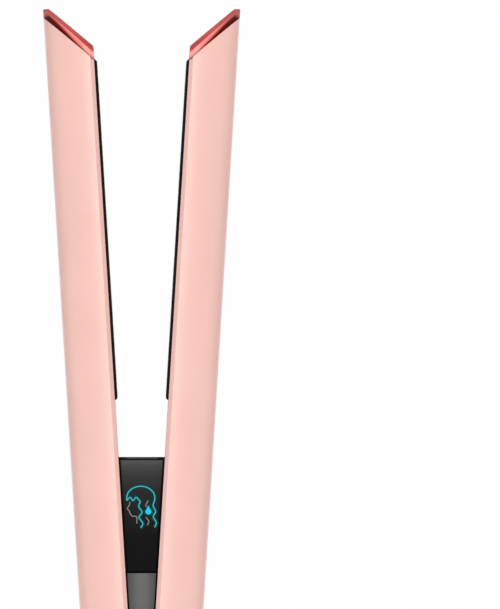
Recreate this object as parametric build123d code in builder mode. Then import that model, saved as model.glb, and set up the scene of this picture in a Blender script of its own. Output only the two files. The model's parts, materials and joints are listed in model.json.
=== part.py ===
"""Airflow flat iron: two hinged arms on a round handle, with a fan and filter in the base.

Millimetres. +Z runs up the tool from the middle of the base's end face, +X is the right arm,
-Y is the display side and +Y the rear. Each arm piece is drawn in the closed position at +X,
swung out about the hinge to the open rest position, then mirrored for the left arm.
"""

import os
from math import radians, tan

from build123d import *

os.makedirs("parts", exist_ok=True)

# Overall sizes of the closed tool
TIP_TOP = 315.0
HALF_Y = 20.25
ARM_IN = 1.9
ARM_OUT = 17.7
CORNER_R = 15.3
WALL = 1.7
SEAM = 0.12
# Side of the cutters that take everything beyond a line
CUTTER = 80.0

# Hinge
PIVOT_Z = 72.0
OPEN_DEG = 3.5
PIN_R = 2.5
RUNNING = 0.05
HINGE_SPAN = 40.0
HINGE_AXIS = Axis((0, 0, PIVOT_Z), (0, 1, 0))

# Arm
ARM_BOTTOM = 62.0
EDGE_BEVEL = 1.3
EDGE_BEVEL_DEPTH = 1.1
CUT_SLOPE = 0.95
SHELL_TIP = 312.2
CAP_RISE = 4.6
CAP_CHAMFER = 1.2
SHELL_REAR = 12.65
TIP_BLANK_LOW = 280.0
TIP_BLANK_TALL = 50.0
TIP_BLANK_IN = -5.0
CORNER_X = ARM_OUT - CORNER_R
FLAT_Y = HALF_Y - CORNER_R

# Jaw: the coral inner half, with a fin that stands out at the rear
JAW_BOTTOM = 168.75
JAW_WALL = 1.6
JAW_FIN_R = 11.5
JAW_FIN_Y = 14.5
JAW_GAP = 0.15
# Where the fin's outline leaves the round corner, as a share of the corner's radius
JAW_BEND = 0.95
# The jaw's walls stop short of the outer side, where the shell covers it
JAW_OPEN_X = 9.0
FIN_END_LOW = 285.0

# Round hub at the rear of each arm
HUB_Y = 5.0
HUB_Z = 189.7
HUB_CUT_Y = 8.46
DISC_R = 18.8
RING_IN_R = 18.95
RING_OUT_R = 21.2
FLANGE_R = 26.5
FLANGE_IN_R = 23.0
SEAT_DISC_R = 22.9
FLANGE_X = 3.9
FLANGE_EDGE = 0.4
FLARE_X = 14.7
FLARE_PULL_X = 6.6
RING_BACK_X = 7.5
DISC_BACK_X = 14.2
DISH_X = 16.35
DISH_RIM_X = 17.29
HUB_GAP = 0.05

# Air strip on each arm's inner face
STRIP_RISE = 0.92
STRIP_BOTTOM = 185.3
STRIP_TOP = 297.7
STRIP_FRONT = -17.0
STRIP_REAR = 21.0
SLOT_W = 1.5
SLOT_LOW = 192.0
SLOT_HIGH = 290.0
SLOT_MID = (SLOT_LOW + SLOT_HIGH) / 2
SLOT_TALL = SLOT_HIGH - SLOT_LOW
STRIP_CHAMFER = 1.0
GROOVE_W = 2.2
GROOVE_DEPTH = 0.4
GROOVES_Y = (-11, -6, 6, 11)

# Nozzle, duct and what they hold
NOZZLE_WALL = 1.1
NOZZLE_TALL = 2.6
NOZZLE_LEN = 4.5
WINDOW_PLAY = 0.2
DUCT_LOW = 170.6
DUCT_HIGH = 294.0
DUCT_SPOT = (9.5, -0.5)
DUCT_X = 6.0
DUCT_Y = 11.0
DUCT_WALL = 0.8
INLET_X = 4.0
INLET_Y = 9.0
HEATER_LOW = 200.0
HEATER_TALL = 40.0
HEATER_X = 3.6
HEATER_Y = 8.6
HEATER_HOLE_R = 0.4
HEATER_PITCH = (1.2, 1.6)
HEATER_HOLES = (2, 5)
THERMISTOR_Z = 250.0
THERMISTOR_R = 0.9
THERMISTOR_LEN = 7.0
THERMISTOR_ROUND = 0.7

# Core between the arms
CORE_TOP = 165.75
CARRIER_FRONT = -16.7
CARRIER_BACK = -14.9
CARRIER_LAP = 1.2
BORDER = 0.6
DISPLAY_TOP = 165.3
DISPLAY_LOW = 128.6
GLASS_T = 0.8
KEY_LOW = 109.0
KEY_HIGH = 128.2
KEY_CREST = -18.3
KEY_BACK = -15.6
KEY_PLAY = 0.25

# Base
HOUSING_TOP = 60.2
HOUSING_LOW = 33.0
HOUSING_WALL = 2.0
BLEND_TOP = 38.5
CAGE_R = 17.4
CAGE_WALL = 1.2
CAP_TOP = 11.0
GLAND_R = 3.6
GLAND_OUT = 6.0
GLAND_LEN = 12.0
BUTTON_Z = 51.4
BUTTON_R = 3.6
BUTTON_PLAY = 0.3
ROCKER_Z = 42.4
ROCKER_W = 5.0
ROCKER_H = 8.2
LOCK_Z = 46.0
LOCK_TRAVEL = 5.0


def gap_half(z):
    """Half the width of the opening between the arms at height z, with the arms open."""
    lean = tan(radians(OPEN_DEG))
    return ARM_IN + (z - PIVOT_Z) * lean


def export(piece, name):
    piece.label = name
    export_step(piece, f"parts/{name}.step")


def arm_outline(inset=0.0, inner_x=ARM_IN):
    """Half-round outline of a closed arm seen along its length, drawn in by inset."""
    radius = CORNER_R - inset
    side = HALF_Y - inset
    outer = CORNER_X + radius
    with BuildSketch() as outline:
        with BuildLine():
            Line((inner_x, -side), (CORNER_X, -side))
            CenterArc((CORNER_X, -FLAT_Y), radius, -90, 90)
            Line((outer, -FLAT_Y), (outer, FLAT_Y))
            CenterArc((CORNER_X, FLAT_Y), radius, 0, 90)
            Line((CORNER_X, side), (inner_x, side))
            Line((inner_x, side), (inner_x, -side))
        make_face()
    return outline.sketch


def shell_section(rear_limit):
    """C-shaped wall of the arm's outer shell, with bevelled inner edges, cut off at rear_limit."""
    with BuildSketch() as section:
        add(arm_outline())
        add(arm_outline(WALL, -CUTTER), mode=Mode.SUBTRACT)
        for sign in (-1, 1):
            with BuildLine():
                Polyline(
                    (ARM_IN, sign * HALF_Y),
                    (ARM_IN + EDGE_BEVEL, sign * HALF_Y),
                    (ARM_IN, sign * (HALF_Y - EDGE_BEVEL_DEPTH)),
                    close=True,
                )
            make_face(mode=Mode.SUBTRACT)
        if rear_limit < HALF_Y:
            with Locations((0, rear_limit)):
                Rectangle(CUTTER, CUTTER, align=(Align.CENTER, Align.MIN), mode=Mode.SUBTRACT)
    return section.sketch


def jaw_outline():
    """Outline of the jaw: it fills the shell with a small gap and adds the round-backed fin."""
    inset = WALL + JAW_GAP
    radius = CORNER_R - inset
    side = HALF_Y - inset
    outer = CORNER_X + radius
    fin_x = ARM_IN + JAW_FIN_R
    step_y = FLAT_Y + (radius**2 - (fin_x - CORNER_X) ** 2) ** 0.5
    bend = (
        CORNER_X + radius * JAW_BEND,
        FLAT_Y + radius * (1 - JAW_BEND**2) ** 0.5,
    )
    with BuildSketch() as outline:
        with BuildLine():
            Line((ARM_IN, -side), (CORNER_X, -side))
            CenterArc((CORNER_X, -FLAT_Y), radius, -90, 90)
            Line((outer, -FLAT_Y), (outer, FLAT_Y))
            ThreePointArc((outer, FLAT_Y), bend, (fin_x, step_y))
            Line((fin_x, step_y), (fin_x, JAW_FIN_Y))
            CenterArc((ARM_IN, JAW_FIN_Y), JAW_FIN_R, 0, 90)
            Line((ARM_IN, JAW_FIN_Y + JAW_FIN_R), (ARM_IN, -side))
        make_face()
    return outline.sketch


def tip_plane(height):
    """Slanted plane across the arm's end, at the given height on the arm's outermost line."""
    return Plane(origin=(ARM_OUT, 0, height), x_dir=(0, 1, 0), z_dir=(-CUT_SLOPE, 0, 1))


def trapezoid(low, high, half_low, half_high):
    """Upright four-sided face in the XZ plane, symmetric about the middle."""
    with BuildSketch() as face:
        with BuildLine():
            Polyline(
                (-half_low, low),
                (half_low, low),
                (half_high, high),
                (-half_high, high),
                close=True,
            )
        make_face()
    return face.sketch


# XZ plane seen from the front: its normal points to the front, -Y
FRONT = Plane(origin=(0, 0, 0), x_dir=(1, 0, 0), z_dir=(0, -1, 0))
# Plane through the hub's axis: local x is the distance from the axis, local y is world X
HUB_PLANE = Plane(origin=(0, HUB_Y, HUB_Z), x_dir=(0, 1, 0), z_dir=(0, 0, -1))
HUB_AXIS = Axis((0, HUB_Y, HUB_Z), (1, 0, 0))

arm = {}

# ---------------------------------------------------------------- arm: outer shell
SCREW_SPOTS = [(-11.0, 220), (-11.0, 250), (-11.0, 285), (9.0, 220), (9.0, 250), (9.0, 285)]
BOSS_R = 2.6
BOSS_IN = ARM_IN + JAW_WALL + 0.2
BOSS_ROOT = 0.4
SCREW_R = 1.2
SCREW_END = 11.0
SCREW_TIP_ROOM = 0.2
HEAD_R = 2.25
HEAD_DEPTH = 1.0
HEAD_PLAY = 0.15


def across(x, y, z):
    """Plane across the arm at x: local x runs along world Y, local y along world Z."""
    return Plane(origin=(x, y, z), x_dir=(0, 1, 0), z_dir=(1, 0, 0))


with BuildPart() as shell:
    with BuildSketch(Plane.XY.offset(ARM_BOTTOM)):
        add(shell_section(HALF_Y))
    extrude(amount=JAW_BOTTOM - SEAM - ARM_BOTTOM)
    with BuildSketch(Plane.XY.offset(JAW_BOTTOM - SEAM)):
        add(shell_section(SHELL_REAR))
    extrude(amount=TIP_TOP - JAW_BOTTOM)
    # Room for the hub at the rear
    with BuildSketch(Plane.YZ):
        with Locations((HUB_Y, HUB_Z)):
            Circle(RING_OUT_R + SEAM)
        with Locations((HUB_CUT_Y - SEAM, JAW_BOTTOM - SEAM)):
            Rectangle(HALF_Y, HUB_Z - JAW_BOTTOM, align=(Align.MIN, Align.MIN))
        with Locations((HUB_CUT_Y - SEAM, HUB_Z)):
            Rectangle(CUTTER, CUTTER, align=(Align.MAX, Align.CENTER), mode=Mode.SUBTRACT)
    extrude(amount=CUTTER, mode=Mode.SUBTRACT)
    # Screw bosses reach in from the outer wall
    for y, z in SCREW_SPOTS:
        wall_x = CORNER_X + ((CORNER_R - WALL) ** 2 - (abs(y) - FLAT_Y) ** 2) ** 0.5
        with BuildSketch(across(BOSS_IN, y, z)):
            Circle(BOSS_R)
        extrude(amount=wall_x + BOSS_ROOT - BOSS_IN)
        with BuildSketch(across(BOSS_IN, y, z)):
            Circle(SCREW_R)
        extrude(amount=SCREW_END - BOSS_IN, mode=Mode.SUBTRACT)
    split(bisect_by=tip_plane(SHELL_TIP), keep=Keep.BOTTOM)
arm["shell"] = shell.part

# ---------------------------------------------------------------- arm: tip cap
with BuildPart() as tip_cap:
    # The blank reaches past the inner face, so that the chamfer runs out cleanly there
    with BuildSketch(Plane.XY.offset(TIP_BLANK_LOW)):
        add(arm_outline(inner_x=TIP_BLANK_IN))
        with Locations((0, SHELL_REAR)):
            Rectangle(CUTTER, CUTTER, align=(Align.CENTER, Align.MIN), mode=Mode.SUBTRACT)
    extrude(amount=TIP_BLANK_TALL)
    split(bisect_by=tip_plane(SHELL_TIP + SEAM), keep=Keep.TOP)
    split(bisect_by=tip_plane(SHELL_TIP + CAP_RISE), keep=Keep.BOTTOM)
    slant = tip_cap.faces().sort_by(Axis.Z)[-1]
    rim = slant.edges().filter_by(lambda e: e.center().X > TIP_BLANK_IN + 0.1)
    chamfer(rim.filter_by(lambda e: e.center().Y < SHELL_REAR - 0.1), CAP_CHAMFER)
    split(bisect_by=Plane((0, 0, TIP_TOP)), keep=Keep.BOTTOM)
    split(bisect_by=Plane((ARM_IN, 0, 0), z_dir=(1, 0, 0)), keep=Keep.TOP)
arm["tip_cap"] = tip_cap.part

# ---------------------------------------------------------------- arm: jaw
with BuildPart() as jaw:
    with BuildSketch(Plane.XY.offset(JAW_BOTTOM)):
        add(jaw_outline())
    extrude(amount=JAW_WALL)
    with BuildSketch(Plane.XY.offset(JAW_BOTTOM + JAW_WALL)):
        add(jaw_outline())
        offset(amount=-JAW_WALL, mode=Mode.SUBTRACT)
        # The outer side stays open: the shell covers it
        with Locations((JAW_OPEN_X, SHELL_REAR - JAW_WALL / 2)):
            Rectangle(CUTTER, CUTTER, align=(Align.MIN, Align.MAX), mode=Mode.SUBTRACT)
    extrude(amount=TIP_TOP - JAW_BOTTOM)
    # Solid end of the rear fin, level with the tip cap
    with BuildSketch(Plane.XY.offset(FIN_END_LOW)):
        add(jaw_outline())
        with Locations((0, SHELL_REAR + SEAM)):
            Rectangle(CUTTER, CUTTER, align=(Align.CENTER, Align.MAX), mode=Mode.SUBTRACT)
    extrude(amount=TIP_TOP - FIN_END_LOW)
    # Under the tip cap the jaw stops at the shell's slanted end
    with BuildSketch(tip_plane(SHELL_TIP)):
        with Locations((SHELL_REAR + SEAM, 0)):
            Rectangle(CUTTER, CUTTER, align=(Align.MAX, Align.CENTER))
    extrude(amount=CUTTER, mode=Mode.SUBTRACT)
    split(bisect_by=tip_plane(SHELL_TIP + CAP_RISE), keep=Keep.BOTTOM)
    # Hub seat: everything outside the inner wall goes, and the flange's own ring
    seat_r = RING_OUT_R + HUB_GAP
    flange_r = FLANGE_R + HUB_GAP
    flange_x = FLANGE_X + HUB_GAP
    with BuildSketch(HUB_PLANE):
        with BuildLine():
            Line((0, HALF_Y), (seat_r, HALF_Y))
            Line((seat_r, HALF_Y), (seat_r, FLARE_X))
            Bezier(
                (seat_r, FLARE_X),
                (seat_r, FLARE_PULL_X),
                (FLANGE_IN_R + 0.3, flange_x),
                (flange_r, flange_x),
            )
            Line((flange_r, flange_x), (flange_r, ARM_IN - 1))
            Line((flange_r, ARM_IN - 1), (SEAT_DISC_R, ARM_IN - 1))
            Line((SEAT_DISC_R, ARM_IN - 1), (SEAT_DISC_R, ARM_IN + JAW_WALL))
            Line((SEAT_DISC_R, ARM_IN + JAW_WALL), (0, ARM_IN + JAW_WALL))
            Line((0, ARM_IN + JAW_WALL), (0, HALF_Y))
        make_face()
    seat = revolve(axis=HUB_AXIS, mode=Mode.PRIVATE)
    rear_side = split(seat, bisect_by=Plane((0, HUB_CUT_Y - SEAM, 0), z_dir=(0, 1, 0)),
                      keep=Keep.TOP, mode=Mode.PRIVATE)
    add(rear_side, mode=Mode.SUBTRACT)
    # Below the hub's centre only the inner wall's disc stays behind the hub
    for from_x, disc_r in ((ARM_IN - 1, SEAT_DISC_R), (ARM_IN + JAW_WALL, 0.0)):
        with BuildSketch(Plane.YZ.offset(from_x)):
            with Locations((HUB_CUT_Y - SEAM, JAW_BOTTOM - 1)):
                Rectangle(CUTTER, HUB_Z - JAW_BOTTOM + 1, align=(Align.MIN, Align.MIN))
            if disc_r:
                with Locations((HUB_Y, HUB_Z)):
                    Circle(disc_r, mode=Mode.SUBTRACT)
        extrude(amount=CUTTER, mode=Mode.SUBTRACT)
    # Window for the nozzle, and the air inlet in the lower end wall
    with BuildSketch(Plane.YZ.offset(ARM_IN - 1)):
        with Locations((0, SLOT_MID)):
            Rectangle(
                SLOT_W + 2 * (NOZZLE_WALL + WINDOW_PLAY),
                SLOT_TALL + NOZZLE_TALL + 2 * WINDOW_PLAY,
            )
    extrude(amount=JAW_WALL + 2, mode=Mode.SUBTRACT)
    with BuildSketch(Plane.XY.offset(JAW_BOTTOM - 1)):
        with Locations(DUCT_SPOT):
            Rectangle(INLET_X, INLET_Y)
    extrude(amount=JAW_WALL + 2, mode=Mode.SUBTRACT)
    # Screw holes with sunk heads, hidden by the air strip
    for y, z in SCREW_SPOTS:
        with BuildSketch(across(ARM_IN - 1, y, z)):
            Circle(SCREW_R + HEAD_PLAY)
        extrude(amount=JAW_WALL + 2, mode=Mode.SUBTRACT)
        with BuildSketch(across(ARM_IN, y, z)):
            Circle(HEAD_R + HEAD_PLAY)
        extrude(amount=HEAD_DEPTH, mode=Mode.SUBTRACT)
arm["jaw"] = jaw.part

# ---------------------------------------------------------------- arm: hub
with BuildPart() as hub_ring:
    with BuildSketch(HUB_PLANE):
        with BuildLine():
            Line((RING_IN_R, ARM_OUT), (RING_OUT_R, ARM_OUT))
            Line((RING_OUT_R, ARM_OUT), (RING_OUT_R, FLARE_X))
            Bezier(
                (RING_OUT_R, FLARE_X),
                (RING_OUT_R, FLARE_PULL_X),
                (FLANGE_IN_R + 0.2, FLANGE_X),
                (FLANGE_R - FLANGE_EDGE / 2, FLANGE_X),
            )
            Line((FLANGE_R - FLANGE_EDGE / 2, FLANGE_X), (FLANGE_R, FLANGE_X - FLANGE_EDGE))
            Line((FLANGE_R, FLANGE_X - FLANGE_EDGE), (FLANGE_R, ARM_IN))
            Line((FLANGE_R, ARM_IN), (FLANGE_IN_R, ARM_IN))
            Line((FLANGE_IN_R, ARM_IN), (FLANGE_IN_R, ARM_IN + JAW_WALL + 0.1))
            Line((FLANGE_IN_R, ARM_IN + JAW_WALL + 0.1), (RING_IN_R, RING_BACK_X))
            Line((RING_IN_R, RING_BACK_X), (RING_IN_R, ARM_OUT))
        make_face()
    revolve(axis=HUB_AXIS)
    split(bisect_by=Plane((0, HUB_CUT_Y, 0), z_dir=(0, 1, 0)), keep=Keep.TOP)
    split(bisect_by=Plane((0, 0, JAW_BOTTOM), z_dir=(0, 0, 1)), keep=Keep.TOP)
arm["hub_ring"] = hub_ring.part

with BuildPart() as hub_disc:
    # The shell's round corner runs on into the disc
    with BuildSketch(Plane.XY.offset(JAW_BOTTOM)):
        add(shell_section(SHELL_REAR))
    extrude(amount=2 * (HUB_Z - JAW_BOTTOM))
    with BuildSketch(Plane.YZ):
        with Locations((HUB_Y, HUB_Z)):
            Circle(DISC_R)
    extrude(amount=CUTTER, mode=Mode.INTERSECT)
    # Shallow dish for the fingertip
    half_way_x = DISH_X + (DISH_RIM_X - DISH_X) / 4
    with BuildSketch(HUB_PLANE):
        with BuildLine():
            ThreePointArc((0, DISH_X), (DISC_R / 2, half_way_x), (DISC_R, DISH_RIM_X))
            Line((DISC_R, DISH_RIM_X), (DISC_R, DISC_BACK_X))
            Line((DISC_R, DISC_BACK_X), (0, DISC_BACK_X))
            Line((0, DISC_BACK_X), (0, DISH_X))
        make_face()
    revolve(axis=HUB_AXIS)
    split(bisect_by=Plane((0, HUB_CUT_Y, 0), z_dir=(0, 1, 0)), keep=Keep.TOP)
arm["hub_disc"] = hub_disc.part

# ---------------------------------------------------------------- arm: air strip and nozzle
STRIP_FACE = ARM_IN - STRIP_RISE
with BuildPart() as air_strip:
    with BuildSketch(FRONT.offset(-STRIP_REAR)):
        with BuildLine():
            Line((ARM_IN, STRIP_TOP), (STRIP_FACE, STRIP_TOP - STRIP_CHAMFER))
            Line((STRIP_FACE, STRIP_TOP - STRIP_CHAMFER), (STRIP_FACE, STRIP_BOTTOM + STRIP_RISE))
            CenterArc((ARM_IN, STRIP_BOTTOM + STRIP_RISE), STRIP_RISE, 180, 90)
            Line((ARM_IN, STRIP_BOTTOM), (ARM_IN, STRIP_TOP))
        make_face()
    extrude(amount=STRIP_REAR - STRIP_FRONT)
    with BuildSketch(Plane.YZ.offset(STRIP_FACE - 1)):
        with Locations((0, SLOT_MID)):
            SlotOverall(SLOT_TALL, SLOT_W, rotation=90)
    extrude(amount=STRIP_RISE + 2, mode=Mode.SUBTRACT)
    # Long grooves either side of the slot leave the tension bars standing
    with BuildSketch(Plane.YZ.offset(STRIP_FACE)):
        with Locations(*[(y, SLOT_MID) for y in GROOVES_Y]):
            SlotOverall(SLOT_TALL, GROOVE_W, rotation=90)
    extrude(amount=GROOVE_DEPTH, mode=Mode.SUBTRACT)
arm["air_strip"] = air_strip.part

with BuildPart() as nozzle:
    with BuildSketch(Plane.YZ.offset(ARM_IN)):
        with Locations((0, SLOT_MID)):
            Rectangle(SLOT_W + 2 * NOZZLE_WALL, SLOT_TALL + NOZZLE_TALL)
            Rectangle(SLOT_W, SLOT_TALL, mode=Mode.SUBTRACT)
    extrude(amount=NOZZLE_LEN)
arm["nozzle"] = nozzle.part

# ---------------------------------------------------------------- arm: inside
with BuildPart() as duct:
    with BuildSketch(Plane.XY.offset(DUCT_LOW)):
        with Locations(DUCT_SPOT):
            Rectangle(DUCT_X, DUCT_Y)
            Rectangle(DUCT_X - 2 * DUCT_WALL, DUCT_Y - 2 * DUCT_WALL, mode=Mode.SUBTRACT)
    extrude(amount=DUCT_HIGH - DUCT_LOW)
    # Slot where the duct feeds the nozzle
    with BuildSketch(Plane.YZ.offset(ARM_IN + NOZZLE_LEN)):
        with Locations((0, SLOT_MID)):
            Rectangle(SLOT_W, SLOT_TALL)
    extrude(amount=2 * DUCT_WALL, mode=Mode.SUBTRACT)
arm["duct"] = duct.part

with BuildPart() as heater:
    with BuildSketch(Plane.XY.offset(HEATER_LOW)):
        with Locations(DUCT_SPOT):
            Rectangle(HEATER_X, HEATER_Y)
            with GridLocations(*HEATER_PITCH, *HEATER_HOLES):
                Circle(HEATER_HOLE_R, mode=Mode.SUBTRACT)
    extrude(amount=HEATER_TALL)
arm["heater"] = heater.part

with BuildPart() as thermistor:
    with BuildSketch(Plane.XY.offset(THERMISTOR_Z)):
        with Locations(DUCT_SPOT):
            Circle(THERMISTOR_R)
    extrude(amount=THERMISTOR_LEN)
    fillet(thermistor.edges().sort_by(Axis.Z)[-1:], THERMISTOR_ROUND)
arm["thermistor"] = thermistor.part

with BuildPart() as arm_screws:
    for y, z in SCREW_SPOTS:
        with BuildSketch(across(ARM_IN + RUNNING, y, z)):
            Circle(HEAD_R)
        extrude(amount=HEAD_DEPTH - 2 * RUNNING)
        with BuildSketch(across(ARM_IN + HEAD_DEPTH / 2, y, z)):
            Circle(SCREW_R)
        extrude(amount=SCREW_END - SCREW_TIP_ROOM - ARM_IN - HEAD_DEPTH / 2)
arm["arm_screws"] = arm_screws.part

# ---------------------------------------------------------------- hinge bracket of the right arm
EAR_R = 4.6
EARS = [(-11.2, -9.4), (11.4, 13.2)]
BRACKET_X = 9.5
BRACKET_THICK = 2.5
BRACKET_Z = 76.0
BRACKET_Y = 26.4
BRACKET_TALL = 20.0
PAD_Y = 9.0
PAD_TALL = 16.0
with BuildPart() as bracket:
    with BuildSketch(across(BRACKET_X, 0, BRACKET_Z)):
        Rectangle(BRACKET_Y, BRACKET_TALL)
    extrude(amount=BRACKET_THICK)
    # Pad that meets the shell's inner face
    with BuildSketch(across(BRACKET_X + BRACKET_THICK, 0, BRACKET_Z)):
        Rectangle(PAD_Y, PAD_TALL)
    extrude(amount=ARM_OUT - WALL - BRACKET_X - BRACKET_THICK)
    for y_low, y_high in EARS:
        with BuildSketch(FRONT.offset(-y_high)):
            with Locations((0, PIVOT_Z)):
                Circle(EAR_R)
                Rectangle(
                    BRACKET_X + BRACKET_THICK / 2,
                    2 * EAR_R,
                    align=(Align.MIN, Align.CENTER),
                )
        extrude(amount=y_high - y_low)
    with BuildSketch(FRONT.offset(-HINGE_SPAN / 2)):
        with Locations((0, PIVOT_Z)):
            Circle(PIN_R + RUNNING)
    extrude(amount=HINGE_SPAN, mode=Mode.SUBTRACT)

# ---------------------------------------------------------------- place both arms
for name, piece in arm.items():
    right = piece.rotate(HINGE_AXIS, OPEN_DEG)
    export(right, f"{name}_r")
    export(mirror(right, about=Plane.YZ), f"{name}_l")
right_bracket = bracket.part.rotate(HINGE_AXIS, OPEN_DEG)
export(right_bracket, "hinge_bracket_r")
# The left bracket is the same casting turned round, so the two sets of ears interleave
export(right_bracket.rotate(Axis.Z, 180), "hinge_bracket_l")

# ---------------------------------------------------------------- core: chassis and pins
PLATE_LOW = 55.4
PLATE_HIGH = 57.4
PLATE_PLAY = 0.1
UPRIGHT_HALF = 4.5
UPRIGHT_ROOT = 0.5
UPRIGHTS = [(-14.9, -13.4), (-9.2, -7.7), (7.7, 9.2), (13.4, 14.9)]
RISER_X = 4.0
RISER_Y = 7.0
RISER_WALL = 1.0
RISER_TOP = 160.8
RISER_WINDOW_Z = 148.0
RISER_WINDOW_Y = 9.0
RISER_WINDOW_TALL = 16.0
SPRING_Y = 8.0
SPRING_THICK = 0.6
SPRING_LOW = 84.0
SPRING_BEND = 94.0
SPRING_TIP = (8.2, 112.0)


def base_plug(play):
    """Outline that fits inside the base housing with some play all round."""
    return RectangleRounded(
        2 * (ARM_OUT - HOUSING_WALL - play),
        2 * (HALF_Y - HOUSING_WALL - play),
        CORNER_R - HOUSING_WALL,
    )


with BuildPart() as chassis:
    with BuildSketch(Plane.XY.offset(PLATE_LOW)):
        base_plug(PLATE_PLAY)
        Rectangle(2 * (RISER_X - RISER_WALL), 2 * (RISER_Y - RISER_WALL), mode=Mode.SUBTRACT)
    extrude(amount=PLATE_HIGH - PLATE_LOW)
    for y_low, y_high in UPRIGHTS:
        with BuildSketch(FRONT.offset(-y_high)):
            with Locations((0, PIVOT_Z)):
                Circle(UPRIGHT_HALF)
            with Locations((0, PLATE_HIGH - UPRIGHT_ROOT)):
                Rectangle(
                    2 * UPRIGHT_HALF,
                    PIVOT_Z - PLATE_HIGH + UPRIGHT_ROOT,
                    align=(Align.CENTER, Align.MIN),
                )
        extrude(amount=y_high - y_low)
    with BuildSketch(FRONT.offset(-HINGE_SPAN / 2)):
        with Locations((0, PIVOT_Z)):
            Circle(PIN_R)
    extrude(amount=HINGE_SPAN, mode=Mode.SUBTRACT)
export(chassis.part, "chassis")

with BuildPart() as hinge_pins:
    for start in (UPRIGHTS[1][1], UPRIGHTS[3][1]):
        with BuildSketch(FRONT.offset(-start)):
            with Locations((0, PIVOT_Z)):
                Circle(PIN_R)
        extrude(amount=UPRIGHTS[3][1] - UPRIGHTS[2][0])
export(hinge_pins.part, "hinge_pins")

with BuildPart() as air_riser:
    with BuildSketch(Plane.XY.offset(PLATE_HIGH)):
        Rectangle(2 * RISER_X, 2 * RISER_Y)
        Rectangle(2 * (RISER_X - RISER_WALL), 2 * (RISER_Y - RISER_WALL), mode=Mode.SUBTRACT)
    extrude(amount=RISER_TOP - PLATE_HIGH)
    # Air leaves to both arms through side windows near the top
    with BuildSketch(across(-2 * RISER_X, 0, RISER_WINDOW_Z)):
        Rectangle(RISER_WINDOW_Y, RISER_WINDOW_TALL)
    extrude(amount=4 * RISER_X, mode=Mode.SUBTRACT)
export(air_riser.part, "air_riser")

with BuildPart() as leaf_springs:
    tip_x, tip_z = SPRING_TIP
    for side in (-1, 1):
        with BuildSketch(FRONT.offset(-SPRING_Y / 2)):
            with BuildLine():
                Polyline(
                    (side * RISER_X, SPRING_LOW),
                    (side * RISER_X, SPRING_BEND),
                    (side * tip_x, tip_z),
                    (side * (tip_x + SPRING_THICK), tip_z - SPRING_THICK / 2),
                    (side * (RISER_X + SPRING_THICK), SPRING_BEND - SPRING_THICK / 3),
                    (side * (RISER_X + SPRING_THICK), SPRING_LOW),
                    close=True,
                )
            make_face()
        extrude(amount=SPRING_Y)
export(leaf_springs.part, "leaf_springs")

# ---------------------------------------------------------------- core: carrier, spine, bridge
CORE_HALF_LOW = 4.0
CORE_HALF_HIGH = gap_half(CORE_TOP) + CARRIER_LAP
BRIDGE_LOW = 161.0
BRIDGE_X = 12.0
BRIDGE_ROUND = 1.5
GLASS_CHAMFER = 0.2
BOARD_Z = 146.0
BOARD_X = 8.0
BOARD_TALL = 30.0
BOARD_THICK = 1.6
KEY_CROWN_R = 22.2


def key_face(grow):
    return trapezoid(
        KEY_LOW - grow,
        KEY_HIGH + grow,
        gap_half(KEY_LOW) - BORDER + grow,
        gap_half(KEY_HIGH) - BORDER + grow,
    )


with BuildPart() as carrier:
    with BuildSketch(FRONT.offset(-CARRIER_BACK)):
        add(trapezoid(HOUSING_TOP + SEAM, CORE_TOP, CORE_HALF_LOW, CORE_HALF_HIGH))
        add(key_face(KEY_PLAY), mode=Mode.SUBTRACT)
    extrude(amount=CARRIER_BACK - CARRIER_FRONT)
export(carrier.part, "display_carrier")

with BuildPart() as spine:
    with BuildSketch(FRONT.offset(CARRIER_FRONT)):
        add(trapezoid(HOUSING_TOP + SEAM, CORE_TOP, CORE_HALF_LOW, CORE_HALF_HIGH))
    extrude(amount=CARRIER_BACK - CARRIER_FRONT)
export(spine.part, "rear_spine")

with BuildPart() as bridge:
    with BuildSketch(Plane.XY.offset(BRIDGE_LOW)):
        Rectangle(BRIDGE_X, -2 * CARRIER_BACK)
    extrude(amount=CORE_TOP - BRIDGE_LOW)
    fillet(bridge.edges().filter_by(Axis.Y).group_by(Axis.Z)[-1], BRIDGE_ROUND)
export(bridge.part, "core_bridge")

with BuildPart() as glass:
    with BuildSketch(FRONT.offset(-CARRIER_FRONT)):
        add(
            trapezoid(
                DISPLAY_LOW,
                DISPLAY_TOP,
                gap_half(DISPLAY_LOW) - BORDER,
                gap_half(DISPLAY_TOP) - BORDER,
            )
        )
    extrude(amount=GLASS_T)
    chamfer(glass.faces().sort_by(Axis.Y)[0].edges(), GLASS_CHAMFER)
export(glass.part, "display_glass")

with BuildPart() as board:
    with BuildSketch(FRONT.offset(-CARRIER_BACK - BOARD_THICK)):
        with Locations((0, BOARD_Z)):
            Rectangle(BOARD_X, BOARD_TALL)
    extrude(amount=BOARD_THICK)
export(board.part, "display_board")

with BuildPart() as mode_key:
    with BuildSketch(FRONT.offset(-KEY_BACK)):
        add(key_face(0))
    extrude(amount=KEY_BACK - KEY_CREST)
    # Rounded front: a slice of a wide cylinder
    with BuildSketch(Plane.XY.offset(KEY_LOW)):
        with Locations((0, KEY_CREST + KEY_CROWN_R)):
            Circle(KEY_CROWN_R)
    extrude(amount=KEY_HIGH - KEY_LOW, mode=Mode.INTERSECT)
export(mode_key.part, "mode_key")

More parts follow.
